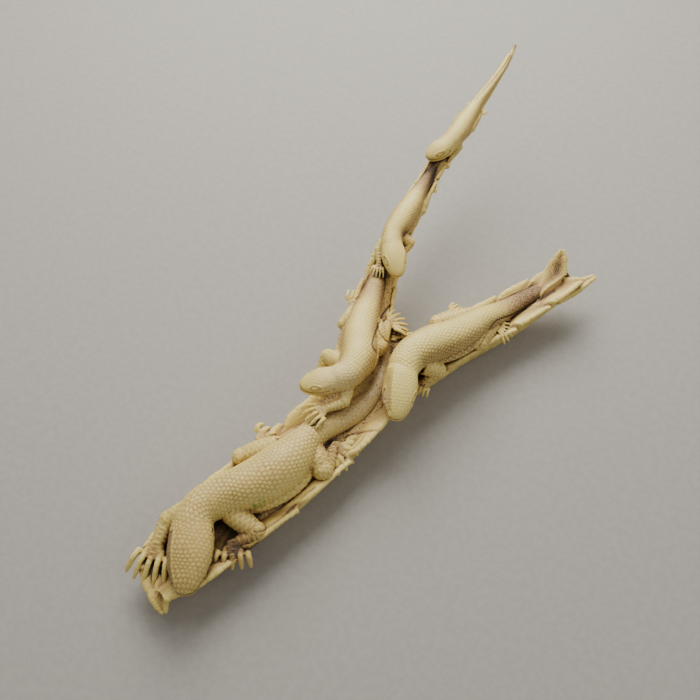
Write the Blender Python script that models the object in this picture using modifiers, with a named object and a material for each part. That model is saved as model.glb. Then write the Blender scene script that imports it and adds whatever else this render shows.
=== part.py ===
"""A forked antler carved as five lizards that climb down it head first, lying on its underside.

+Y runs from the base of the beam to the tip of the tine, and +Z is up. The origin is on the flat
foot under the base. The antler is one piece of material, so it is one solid.
"""

import math

import bmesh
import bpy
import numpy as np
from mathutils import Matrix, Vector

# Driving sizes, in metres.
LENGTH = 0.247  # from the leaf tip at the base to the tip of the tine
LEAF_THICKNESS = 0.0026  # the leaves along the rims
LEAF_OVERLAP = 0.8  # how far a leaf lies in over the antler, in half widths of the leaf
LEAF_LIFT = 0.26  # how high it lies above the rim, in half widths
LEAF_TILT = 0.34  # how steeply it rises outwards
LEAST_TOE = 0.0014  # the thinnest toe that is cut
KEPT_FACES = 0.066  # share of the skin's faces that is kept

# The pose and the carving are in units of this share of the length.
UNIT = LENGTH / 247
GRAIN = 0.7 * UNIT  # the fineness of the carving in this solid

# The antler's body: x, y, height of the rim, half width, and the depths above and below the rim.
BEAM_AND_TINE = [
    (-6.0, -25.0, 8.5, 4.0, 1.4, 3.5),
    (-7.0, -19.0, 8.8, 8.8, 1.2, 7.0),
    (-6.0, -10.0, 9.2, 11.8, 1.0, 9.0),
    (-2.5, 3.0, 9.6, 12.6, 1.6, 10.4),
    (2.0, 16.0, 10.0, 12.8, 3.4, 10.2),
    (6.5, 30.0, 10.2, 12.9, 3.8, 9.6),
    (10.0, 43.0, 10.4, 12.6, 3.6, 9.6),
    (12.8, 55.0, 10.6, 12.3, 3.4, 10.2),
    (13.5, 66.0, 10.8, 12.6, 4.4, 11.2),
    (9.5, 78.0, 11.0, 11.0, 5.0, 11.6),
    (4.5, 89.0, 11.8, 8.6, 5.5, 12.2),
    (1.0, 99.0, 14.5, 7.2, 4.6, 10.5),
    (-1.6, 110.0, 17.8, 5.6, 3.4, 7.8),
    (-3.4, 122.0, 22.5, 4.7, 3.6, 5.5),
    (-4.4, 137.0, 27.2, 3.8, 3.4, 4.6),
    (-4.6, 152.0, 30.4, 3.2, 2.2, 4.2),
    (-4.0, 164.0, 33.8, 3.0, 2.6, 3.8),
    (-3.0, 176.0, 36.8, 2.8, 2.6, 3.2),
    (-2.2, 188.0, 39.8, 2.2, 2.0, 2.5),
    (-1.6, 201.0, 42.7, 1.7, 1.5, 1.8),
    (-1.4, 211.0, 44.6, 1.3, 1.1, 1.3),
    (-2.0, 219.0, 46.2, 0.7, 0.7, 0.7),
]
BRANCH = [
    (13.0, 72.0, 10.0, 9.5, 2.0, 10.0),
    (20.5, 82.0, 10.5, 9.5, 3.0, 11.0),
    (26.5, 92.0, 10.5, 8.8, 3.6, 10.2),
    (32.0, 103.0, 10.5, 7.8, 3.4, 10.3),
    (38.0, 114.0, 10.5, 7.3, 2.6, 11.2),
    (43.5, 123.5, 10.9, 7.1, 2.0, 10.8),
    (49.0, 133.5, 12.0, 6.5, 1.4, 8.6),
    (54.5, 143.0, 13.4, 5.6, 0.9, 6.4),
    (58.0, 149.5, 14.2, 4.2, 0.9, 3.8),
]
# What fills the crotch of the fork and lies under the fork lizard's hand, written the same way.
WEBS = [
    [(3.0, 88.0, 12.0, 5.0, 2.0, 6.0), (12.0, 91.5, 11.5, 6.8, 2.0, 7.5), (21.0, 95.5, 11.0, 5.0, 2.0, 7.0)],
    [(3.0, 58.0, 11.5, 3.0, 2.0, 4.0), (0.6, 67.0, 12.5, 4.0, 3.4, 5.0), (1.0, 77.0, 12.0, 4.0, 3.0, 5.0)],
]
# The leaf tips at the base and at the end of the branch: x, y, z, half width and half thickness.
LEAF_ENDS = [
    [(-7.5, -19, 9.6, 4.6, 1.6), (-5.5, -25, 8.6, 3.4, 1.3), (-1.6, -28.5, 6.4, 0.8, 0.8)],
    [(-15, -8, 11, 2.0, 1.2), (-14.5, -16, 10.6, 3.6, 1.3), (-10, -22, 9, 3.6, 1.3), (-4.5, -27, 7.2, 1.2, 1.0)],
    [(50.0, 136, 14, 2.4, 1.4), (52.2, 145, 16.8, 4.0, 1.3), (51.8, 150.6, 20, 2.6, 1.1), (51, 153.4, 22, 0.8, 0.8)],
    [(56.5, 138, 13, 2.4, 1.4), (60.5, 146, 13.4, 2.8, 1.2), (65.6, 154.6, 14.0, 0.7, 0.7)],
]

# Leaves on a rim: its limb, side, first and last station in shares of the limb, how many, how far
# each tip flares out and rises, and the blade's half width.
RIM_LEAVES = [
    ("beam", 1, 0.00, 0.37, 4, 1.8, 0.8, 6.6),
    ("beam", -1, 0.02, 0.33, 4, 1.2, 0.8, 6.0),
    ("beam", -1, 0.35, 0.60, 4, 0.8, 0.8, 3.6),
    ("beam", 1, 0.48, 0.66, 3, 0.9, 0.6, 2.6),
    ("beam", -1, 0.64, 0.82, 3, 0.5, 0.5, 1.8),
    ("beam", 1, 0.66, 0.84, 3, 0.5, 0.5, 1.8),
    ("branch", 1, 0.10, 0.98, 5, 1.4, 0.8, 5.0),
    ("branch", -1, 0.34, 0.96, 4, 0.9, 1.4, 4.4),
]

# The lizards. head: snout, nape, half width. body: x, y, z, half width, half height, nape to tail.
# A leg: where it leaves the body, knee, ankle, the way its toes point, their spread in degrees,
# its half thickness at the body, and the length of its toes in shares of the lizard's.
LIZARDS = {
    "great": {
        "head": ((2.8, -22, 15.2), (-7.4, -1, 19.4), 7.3),
        "body": [
            (-6.8, -4.0, 19.4, 6.0, 5.6),
            (-7.4, 3.0, 19.4, 6.1, 6.0),
            (-3.8, 10.0, 18.8, 6.5, 7.0),
            (1.8, 17.5, 18.4, 7.6, 8.3),
            (6.0, 26.0, 18.1, 7.9, 8.5),
            (8.0, 33.5, 17.6, 7.1, 7.6),
            (8.8, 41.0, 16.8, 5.2, 5.8),
            (10.2, 48.0, 15.6, 4.7, 4.8),
            (13.6, 55.0, 14.4, 4.6, 4.3),
            (17.0, 62.0, 13.6, 4.0, 3.7),
            (18.3, 70.0, 12.9, 3.1, 3.1),
            (16.5, 78.0, 13.0, 2.2, 2.4),
            (13.0, 85.0, 13.6, 1.4, 1.5),
        ],
        "legs": [
            ((-9, 3, 16.5), (-15.6, -4.8, 14.0), (-14.4, -13.0, 13.0), (0.18, -1.0, -0.22), 58, 4.3, 1.0),
            ((0, 7, 16.5), (11.0, 6.6, 14.2), (6.4, -0.4, 13.0), (0.55, -1.0, -0.20), 66, 3.7, 0.78),
            ((1, 35, 16), (-8.4, 25.5, 14), (-5.2, 33, 13.8), (0.25, 1.0, 0.0), 50, 3.8, 0.8),
            ((12, 39, 16), (18.6, 34.8, 15.0), (16.8, 44.5, 14.0), (1.0, -0.05, -0.24), 120, 4.2, 0.88),
        ],
        "toe": (8.5, 0.95),
    },
    "fork": {
        "head": ((-2, 54.5, 23.5), (8.5, 62.5, 26.0), 4.7),
        "body": [
            (7.5, 61.5, 25.8, 4.4, 4.1),
            (10.2, 66.5, 25.6, 5.2, 4.8),
            (9.3, 74.0, 24.8, 6.1, 5.8),
            (5.2, 82.0, 23.6, 5.9, 5.8),
            (2.6, 90.0, 22.6, 5.1, 5.2),
            (1.0, 97.0, 21.6, 4.2, 4.4),
            (-1.0, 104.0, 20.6, 3.5, 3.6),
            (-3.2, 111.0, 20.2, 2.9, 2.8),
            (-4.4, 118.0, 21.5, 2.0, 2.0),
        ],
        "legs": [
            ((6, 70, 22.5), (-1.6, 71.4, 19.6), (-1.2, 65.5, 16.0), (-0.1, -1.0, -0.30), 50, 3.1, 0.9),
            ((11, 64, 22.5), (13.4, 57.5, 21.6), (9.3, 51.6, 22.2), (-0.55, -1.0, 0.10), 80, 2.4, 1.0),
            ((0, 93, 20), (-4.2, 86.5, 17.5), (-5.3, 96, 16.4), (-0.15, 1.0, 0.22), 50, 2.6, 0.9),
            ((5, 91, 20), (11.8, 83.6, 18.6), (9.2, 95, 16.8), (0.55, 0.85, -0.10), 105, 4.2, 1.05),
        ],
        "toe": (6.6, 0.75),
    },
    "branch": {
        "head": ((31, 61.5, 19.5), (24, 79, 22.5), 6.0),
        "body": [
            (24.3, 78.0, 22.4, 5.4, 4.8),
            (24.3, 85.0, 22.0, 6.0, 5.7),
            (27.6, 92.5, 21.0, 6.5, 6.4),
            (31.8, 99.0, 19.8, 6.2, 6.2),
            (35.2, 106.0, 18.4, 5.5, 5.6),
            (38.2, 114.0, 16.6, 4.6, 4.8),
            (41.8, 122.0, 14.0, 4.0, 4.0),
            (45.6, 130.0, 13.1, 3.5, 3.2),
            (49.8, 138.0, 13.4, 2.9, 2.5),
            (53.2, 144.5, 14.2, 2.2, 1.9),
            (55.8, 150.0, 14.8, 1.4, 1.3),
        ],
        "legs": [
            ((20, 88, 18.5), (21.0, 96.6, 14.8), (15.4, 95, 13.8), (-1.0, -0.15, -0.1), 45, 2.8, 0.8),
            ((29, 85, 19), (34.2, 88.0, 15.8), (31.4, 82.0, 14.0), (0.05, -1.0, -0.16), 50, 3.2, 0.65),
            ((34, 114, 16.4), (23.8, 104.8, 15.6), (26.4, 111.5, 15), (0.45, 1.0, 0.0), 45, 3.4, 0.8),
            ((39, 113, 15.6), (41.0, 105.4, 14.6), (43.0, 116, 14.2), (0.95, 0.35, -0.22), 110, 3.4, 0.95),
        ],
        "toe": (6.8, 0.75),
    },
    "tine": {
        "head": ((6, 108.5, 27.6), (-2.2, 118.5, 30.2), 4.4),
        "body": [
            (-1.8, 117.5, 30.0, 3.9, 3.6),
            (-3.8, 122.5, 30.4, 3.9, 3.8),
            (-4.0, 129.0, 31.0, 4.3, 4.3),
            (-4.0, 136.0, 31.6, 4.0, 4.1),
            (-4.3, 142.0, 31.9, 3.2, 3.4),
            (-4.6, 148.0, 32.2, 2.4, 2.6),
            (-4.7, 154.0, 32.8, 1.8, 2.0),
            (-4.6, 159.0, 33.4, 1.3, 1.5),
        ],
        "legs": [
            ((-5, 121, 28), (-6.0, 116, 26.4), (-3.2, 111.6, 25.4), (0.25, -1.0, -0.2), 55, 2.2, 1.05),
            ((-2, 124, 29), (2.6, 124.5, 27.2), (1.6, 119.5, 24.6), (0.1, -1.0, -0.35), 45, 2.2, 0.8),
            ((-5.5, 142, 31), (-7.2, 138, 29.4), (-6.8, 146, 29.6), (0.15, 1.0, 0.2), 45, 2.2, 0.9),
            ((-3, 142, 31), (-0.4, 138, 29.2), (-1.6, 147, 29.4), (-0.15, 1.0, 0.2), 50, 2.3, 1.0),
        ],
        "toe": (4.8, 0.7),
    },
    "tip": {
        "head": ((-7.9, 156, 37.0), (-3.4, 164.8, 38.8), 3.7),
        "body": [
            (-3.9, 163.8, 38.6, 3.2, 3.1),
            (-3.1, 168.5, 39.0, 3.7, 3.5),
            (-2.9, 175.0, 39.8, 3.6, 3.4),
            (-2.7, 181.5, 40.6, 2.8, 2.8),
            (-2.6, 188.0, 41.6, 2.1, 2.1),
            (-1.9, 196.0, 42.8, 1.8, 1.8),
            (-1.5, 205.0, 44.2, 1.4, 1.4),
            (-1.7, 213.0, 45.6, 1.0, 1.0),
        ],
        "legs": [
            ((-5.0, 167, 38), (-6.8, 168, 36.8), (-6.4, 162, 35.0), (0.1, -1.0, -0.3), 45, 1.9, 0.9),
            ((-2.5, 166, 38), (-0.2, 167.5, 36.4), (-1.0, 161, 34.4), (-0.1, -1.0, -0.3), 45, 1.9, 0.9),
            ((-4.5, 181, 39.5), (-5.9, 177.5, 38.4), (-5.4, 184.5, 39.4), (0.25, 1.0, 0.2), 40, 1.9, 0.9),
            ((-2, 181, 39.5), (0.2, 176.5, 38.2), (0.2, 184.0, 39.0), (0.1, 1.0, 0.2), 45, 2.0, 1.0),
        ],
        "toe": (3.8, 0.7),
    },
}

# The head from the snout to the nape, in shares of its length, half width and half width again
# for the heights above and below its middle line.
SKULL = [
    (-0.02, 0.26, 0.16, 0.16),
    (0.03, 0.50, 0.34, 0.30),
    (0.14, 0.70, 0.52, 0.40),
    (0.32, 0.88, 0.68, 0.50),
    (0.52, 1.00, 0.80, 0.60),
    (0.72, 1.00, 0.84, 0.70),
    (0.90, 0.92, 0.84, 0.76),
    (1.04, 0.86, 0.82, 0.80),
]
BROW = [(0.12, 0.50, 0.36), (0.34, 0.72, 0.56), (0.52, 0.86, 0.66), (0.70, 0.88, 0.66)]
EYE_AT = 0.40  # share of the head's length
TOES = 5


def through(rows, count):
    """Points on a smooth curve through all the rows, evenly spaced along it."""
    rows = np.array(rows, float)
    ends = np.vstack([2 * rows[0] - rows[1], rows, 2 * rows[-1] - rows[-2]])
    fine = []
    for i in range(1, len(ends) - 2):
        a, b, c, d = ends[i - 1 : i + 3]
        for t in np.linspace(0, 1, 12, endpoint=False):
            fine.append(
                0.5 * (2 * b + (c - a) * t + (2 * a - 5 * b + 4 * c - d) * t**2 + (3 * b - a - 3 * c + d) * t**3)
            )
    fine = np.array(fine + [rows[-1]])
    steps = np.linalg.norm(np.diff(fine[:, :3], axis=0), axis=1)
    along = np.concatenate([[0], np.cumsum(steps)])
    wanted = np.linspace(0, along[-1], count)
    return np.stack([np.interp(wanted, along, column) for column in fine.T], axis=1)


def sweep(bm, rows, sides=16, up=(0, 0, 1), square=2.0):
    """A closed form through rows of x, y, z, half width, height above and depth below the line."""
    rows = np.array(rows, float)
    if rows.shape[1] == 4:
        rows = np.column_stack([rows, rows[:, 3], rows[:, 3]])
    if rows.shape[1] == 5:
        rows = np.column_stack([rows, rows[:, 4]])
    way = np.gradient(rows[:, :3], axis=0)
    ring = bmesh.ops.create_circle(bm, segments=sides, radius=1.0)["verts"]
    first = ring
    for i, (x, y, z, wide, above, below) in enumerate(rows):
        if i:
            edges = [e for e in {e for v in ring for e in v.link_edges} if all(v in ring for v in e.verts)]
            made = bmesh.ops.extrude_edge_only(bm, edges=edges)["geom"]
            fresh = {v for v in made if isinstance(v, bmesh.types.BMVert)}
            ring = [next(e.other_vert(v) for e in v.link_edges if e.other_vert(v) in fresh) for v in ring]
        forward = Vector(way[i]).normalized()
        across = forward.cross(Vector(up)).normalized()
        top = across.cross(forward)
        for j, vert in enumerate(ring):
            angle = 2 * math.pi * j / sides
            side = math.copysign(abs(math.cos(angle)) ** (2 / square), math.cos(angle))
            rise = math.copysign(abs(math.sin(angle)) ** (2 / square), math.sin(angle))
            height = above if rise > 0 else below
            vert.co = (Vector((x, y, z)) + across * side * wide + top * rise * height) * UNIT
    for end in (first, ring):
        bmesh.ops.contextual_create(bm, geom=end)


def ball(bm, centre, radius):
    """A round form, such as an eye."""
    bmesh.ops.create_uvsphere(
        bm, u_segments=12, v_segments=8, radius=radius * UNIT, matrix=Matrix.Translation(Vector(centre) * UNIT)
    )


def head(bm, snout, nape, wide):
    """A wedge-shaped head with a flat crown, brows over the eyes and a jaw set in under the lip."""
    snout, nape = Vector(snout), Vector(nape)
    line = nape - snout
    across = line.cross(Vector((0, 0, 1))).normalized()
    top = across.cross(line).normalized()
    skull = [(*(snout + line * t), w * wide, a * wide, b * wide) for t, w, a, b in SKULL]
    sweep(bm, through(skull, 14), 20, square=2.35)
    jaw_drop = top * 0.46 * wide
    jaw = [
        (*(snout + line * (t + 0.05) - jaw_drop), 0.90 * w * wide, 0.3 * wide, 0.55 * b * wide)
        for t, w, a, b in SKULL
    ]
    sweep(bm, through(jaw, 12), 16, square=2.4)
    for side in (-1, 1):
        brow = [
            (*(snout + line * t + across * side * w * wide * 0.84 + top * a * wide * 0.86), 0.09 * wide)
            for t, w, a in BROW
        ]
        sweep(bm, through(brow, 8), 8)
        ball(bm, snout + line * EYE_AT + across * side * 0.70 * wide + top * 0.30 * wide, 0.24 * wide)


def foot(bm, ankle, way, spread, toe_length, toe_thick):
    """A palm with five slim toes that fan out and bend down at their tips."""
    ankle, way = Vector(ankle), Vector(way).normalized()
    flat = Vector((way.x, way.y, 0)).normalized()
    palm = ankle + way * 0.16 * toe_length
    thick = max(toe_thick, LEAST_TOE / 2 / UNIT)
    sweep(
        bm,
        through(
            [
                (*(ankle - way * 0.1 * toe_length), 1.3 * thick, 1.2 * thick),
                (*palm, 1.7 * thick, 1.1 * thick),
                (*(palm + way * 0.16 * toe_length), 1.5 * thick, 0.9 * thick),
            ],
            5,
        ),
        10,
    )
    for i in range(TOES):
        share = i / (TOES - 1) - 0.5
        turn = Matrix.Rotation(math.radians(spread * share), 3, "Z")
        out = turn @ flat
        out.z = way.z
        reach = toe_length * (1.0 - 0.55 * share**2)
        knuckle = palm + out * 0.45 * reach + Vector((0, 0, 0.8 * thick))
        tip = palm + out * 1.05 * reach - Vector((0, 0, 0.9 * thick))
        sweep(
            bm,
            through([(*palm, thick), (*knuckle, thick), (*tip, 0.62 * thick)], 6),
            8,
        )


def leg(bm, root, knee, ankle, way, spread, thick, reach, toe):
    """A thigh that swells above the knee, a slimmer shank, and the foot."""
    root, knee, ankle = Vector(root), Vector(knee), Vector(ankle)
    thigh = [
        (*root, 0.95 * thick),
        (*root.lerp(knee, 0.5), 1.02 * thick),
        (*root.lerp(knee, 0.9), 0.80 * thick),
        (*root.lerp(knee, 1.08), 0.42 * thick),
    ]
    shank = [
        (*knee.lerp(ankle, -0.12), 0.45 * thick),
        (*knee.lerp(ankle, 0.12), 0.72 * thick),
        (*knee.lerp(ankle, 0.5), 0.64 * thick),
        (*ankle, 0.44 * thick),
    ]
    for rows in (thigh, shank):
        sweep(bm, through(rows, 9), 12)
    foot(bm, ankle, way, spread, toe[0] * reach, toe[1])


def lizard(bm, shape):
    """One lizard: head, body with its tail, and four legs."""
    head(bm, *shape["head"])
    sweep(bm, through(shape["body"], 44), 20, square=2.15)
    for parts in shape["legs"]:
        leg(bm, *parts, shape["toe"])


def rim_leaf(bm, limb, side, start, end, flare, rise, wide):
    """A pointed leaf that lies along the rim and lifts away from it at its tip."""
    count = len(limb)
    rows = []
    for t in np.linspace(0, 1, 9):
        at = (start + (end - start) * t) * (count - 1)
        i = min(int(at), count - 2)
        here = limb[i] + (limb[i + 1] - limb[i]) * (at - i)
        forward = Vector(limb[i + 1][:3] - limb[i][:3]).normalized()
        out = forward.cross(Vector((0, 0, 1))).normalized() * side
        blade = wide * math.sin(math.pi * min(1, 0.16 + 0.8 * t)) ** 0.7
        shift = here[3] - LEAF_OVERLAP * blade + flare * t**2
        spot = Vector(here[:3]) + out * shift + Vector((0, 0, LEAF_LIFT * wide + rise * t**2))
        rows.append((*spot, max(0.6, blade), LEAF_THICKNESS / 2 / UNIT * (1 - 0.3 * t)))
    tilt = Vector((0, 0, 1)) - out * LEAF_TILT
    sweep(bm, rows, 10, up=tilt)


def ground(bm):
    """The antler itself, hollowed a little between leafy rims, with the leaf tips at its ends."""
    limbs = {"beam": through(BEAM_AND_TINE, 90), "branch": through(BRANCH, 40)}
    for rows in limbs.values():
        sweep(bm, rows, 28, square=2.2)
    for name, side, first, last, leaves, flare, rise, wide in RIM_LEAVES:
        step = (last - first) / leaves
        for i in range(leaves):
            start = first + step * i
            rim_leaf(bm, limbs[name], side, start, start + step * 1.18, flare, rise, wide)
    for rows in WEBS:
        sweep(bm, through(rows, 9), 20)
    for rows in LEAF_ENDS:
        sweep(bm, through(rows, 9), 12)


def carve():
    """All the forms joined in one skin, the skin thinned to few faces, and the feet cut flat."""
    forms = bmesh.new()
    ground(forms)
    for shape in LIZARDS.values():
        lizard(forms, shape)
    bmesh.ops.recalc_face_normals(forms, faces=forms.faces)
    mesh = bpy.data.meshes.new("antler_carving")
    forms.to_mesh(mesh)
    forms.free()
    carving = bpy.data.objects.new("antler_carving", mesh)

    skin = carving.modifiers.new("one skin", "REMESH")
    skin.mode = "VOXEL"
    skin.voxel_size = GRAIN
    soften = carving.modifiers.new("soften", "SMOOTH")
    soften.factor = 0.5
    soften.iterations = 2
    thin = carving.modifiers.new("few faces", "DECIMATE")
    thin.ratio = KEPT_FACES
    cut = carving.modifiers.new("flat feet", "BOOLEAN")
    cut.operation = "DIFFERENCE"
    cut.solver = "EXACT"
    cut.object = table_cutter()
    return carving


def table_cutter():
    """A block whose top is the surface that the antler lies on."""
    block = bmesh.new()
    bmesh.ops.create_cube(block, size=1.0)
    bmesh.ops.scale(block, vec=(LENGTH, 1.4 * LENGTH, 0.2 * LENGTH), verts=block.verts)
    bmesh.ops.translate(block, vec=(0.1 * LENGTH, 0.4 * LENGTH, -0.1 * LENGTH), verts=block.verts)
    mesh = bpy.data.meshes.new("table_cutter")
    block.to_mesh(mesh)
    block.free()
    cutter = bpy.data.objects.new("table_cutter", mesh)
    cutter.hide_render = True
    cutter.display_type = "WIRE"
    collection("cutters").objects.link(cutter)
    return cutter


def collection(name):
    made = bpy.data.collections.new(name)
    bpy.context.scene.collection.children.link(made)
    return made


def antler_material():
    """Aged antler: a warm cream with a soft polish."""
    material = bpy.data.materials.new("antler")
    material.use_nodes = True
    shader = material.node_tree.nodes["Principled BSDF"]
    shader.inputs["Base Color"].default_value = (0.62, 0.49, 0.28, 1.0)
    shader.inputs["Roughness"].default_value = 0.45
    shader.inputs["Metallic"].default_value = 0.0
    return material


def main():
    for old in list(bpy.data.objects):
        bpy.data.objects.remove(old)
    carving = carve()
    carving.data.materials.append(antler_material())
    collection("antler carving").objects.link(carving)


main()
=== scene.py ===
"""The visual model of an antler carved as five lizards that climb down it head first.

It is built from the same places as the solid, at a finer grain. Scales, leaf veins, pits, eyes and
mouths are relief, and attributes tell the material where brown has gathered and where it paints shade.
"""

import math

import bmesh
import bpy
import numpy as np
from mathutils import Matrix, Vector
from mathutils.bvhtree import BVHTree


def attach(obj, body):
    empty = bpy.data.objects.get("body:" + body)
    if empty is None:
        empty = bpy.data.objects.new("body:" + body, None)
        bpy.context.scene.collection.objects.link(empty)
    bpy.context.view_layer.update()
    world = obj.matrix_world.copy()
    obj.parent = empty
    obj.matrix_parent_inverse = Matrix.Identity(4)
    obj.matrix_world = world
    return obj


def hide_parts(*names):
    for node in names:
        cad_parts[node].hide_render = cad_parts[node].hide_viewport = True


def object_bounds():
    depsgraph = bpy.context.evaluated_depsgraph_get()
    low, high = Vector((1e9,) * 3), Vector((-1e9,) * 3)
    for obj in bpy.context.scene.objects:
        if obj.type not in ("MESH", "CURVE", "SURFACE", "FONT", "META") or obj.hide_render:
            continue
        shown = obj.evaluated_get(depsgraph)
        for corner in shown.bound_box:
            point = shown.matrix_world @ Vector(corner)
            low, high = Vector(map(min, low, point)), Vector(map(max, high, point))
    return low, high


bl_info = {
    "name": "Carved Antler with Lizards",
    "version": (1, 0, 0),
    "blender": (4, 5, 0),
    "location": "View3D > Sidebar > Antler",
    # The patina in the description includes painted shade in the recesses.
    "description": "Builds a forked antler carved with lizards, its patina and its studio",
    "category": "Add Mesh",
}

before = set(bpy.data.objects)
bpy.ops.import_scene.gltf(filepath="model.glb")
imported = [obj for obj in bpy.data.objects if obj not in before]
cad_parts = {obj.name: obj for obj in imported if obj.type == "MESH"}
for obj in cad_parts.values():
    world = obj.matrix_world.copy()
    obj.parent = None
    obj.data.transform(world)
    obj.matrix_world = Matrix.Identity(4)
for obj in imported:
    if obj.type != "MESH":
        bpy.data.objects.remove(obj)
CAD_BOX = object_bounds()
NODE = "antler_carving"

# The pose and the carving are in units of a 247th of the length, as in the solid.
SPANS = 247
UNIT = round(CAD_BOX[1].y - CAD_BOX[0].y, 3) / SPANS

# The antler: x, y, height of the rim, half width, and the depths above and below the rim.
BEAM_AND_TINE = [
    (-6, -25, 8.5, 4, 1.4, 3.5), (-7, -19, 8.8, 8.8, 1.2, 7), (-6, -10, 9.2, 11.8, 1, 9),
    (-2.5, 3, 9.6, 12.6, 1.6, 10.4), (2, 16, 10, 12.8, 3.4, 10.2), (6.5, 30, 10.2, 12.9, 3.8, 9.6),
    (10, 43, 10.4, 12.6, 3.6, 9.6), (12.8, 55, 10.6, 12.3, 3.4, 10.2), (13.5, 66, 10.8, 12.6, 4.4, 11.2),
    (9.5, 78, 11, 11, 5, 11.6), (4.5, 89, 11.8, 8.6, 5.5, 12.2), (1, 99, 14.5, 7.2, 4.6, 10.5),
    (-1.6, 110, 17.8, 5.6, 3.4, 7.8), (-3.4, 122, 22.5, 4.7, 3.6, 5.5), (-4.4, 137, 27.2, 3.8, 3.4, 4.6),
    (-4.6, 152, 30.4, 3.2, 2.2, 4.2), (-4, 164, 33.8, 3, 2.6, 3.8), (-3, 176, 36.8, 2.8, 2.6, 3.2),
    (-2.2, 188, 39.8, 2.2, 2, 2.5), (-1.6, 201, 42.7, 1.7, 1.5, 1.8), (-1.4, 211, 44.6, 1.3, 1.1, 1.3),
    (-2, 219, 46.2, 0.7, 0.7, 0.7),
]
BRANCH = [
    (13, 72, 10, 9.5, 2, 10), (20.5, 82, 10.5, 9.5, 3, 11), (26.5, 92, 10.5, 8.8, 3.6, 10.2),
    (32, 103, 10.5, 7.8, 3.4, 10.3), (38, 114, 10.5, 7.3, 2.6, 11.2), (43.5, 123.5, 10.9, 7.1, 2, 10.8),
    (49, 133.5, 12, 6.5, 1.4, 8.6), (54.5, 143, 13.4, 5.6, 0.9, 6.4), (58, 149.5, 14.2, 4.2, 0.9, 3.8),
]
# What fills the fork's crotch and lies under the fork lizard's hand, written the same way.
WEBS = [
    [(3, 88, 12, 5, 2, 6), (12, 91.5, 11.5, 6.8, 2, 7.5), (21, 95.5, 11, 5, 2, 7)],
    [(3, 58, 11.5, 3, 2, 4), (0.6, 67, 12.5, 4, 3.4, 5), (1, 77, 12, 4, 3, 5)],
]
# The leaf tips at the base and at the end of the branch: x, y, z, half width and half thickness.
LEAF_ENDS = [
    [(-7.5, -19, 9.6, 4.6, 1.6), (-5.5, -25, 8.6, 3.4, 1.3), (-1.6, -28.5, 6.4, 0.8, 0.8)],
    [(-15, -8, 11, 2, 1.2), (-14.5, -16, 10.6, 3.6, 1.3), (-10, -22, 9, 3.6, 1.3), (-4.5, -27, 7.2, 1.2, 1)],
    [
        (50, 136, 14, 2.4, 1.4), (52.2, 145, 16.8, 4, 1.3), (51.8, 150.6, 20, 2.6, 1.1),
        (51, 153.4, 22, 0.8, 0.8),
    ],
    [(56.5, 138, 13, 2.4, 1.4), (60.5, 146, 13.4, 2.8, 1.2), (65.6, 154.6, 14, 0.7, 0.7)],
]

# Leaves on a rim: limb, side, first and last place in shares of the limb, how many, how far each tip
# flares out and rises, and the blade's half width.
RIM_LEAVES = [
    ("beam", 1, 0, 0.37, 4, 1.8, 0.8, 6.6),
    ("beam", -1, 0.02, 0.33, 4, 1.2, 0.8, 6),
    ("beam", -1, 0.35, 0.6, 4, 0.8, 0.8, 3.6),
    ("beam", 1, 0.48, 0.66, 3, 0.9, 0.6, 2.6),
    ("beam", -1, 0.64, 0.82, 3, 0.5, 0.5, 1.8),
    ("beam", 1, 0.66, 0.84, 3, 0.5, 0.5, 1.8),
    ("branch", 1, 0.1, 0.98, 5, 1.4, 0.8, 5),
    ("branch", -1, 0.34, 0.96, 4, 0.9, 1.4, 4.4),
]

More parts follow.
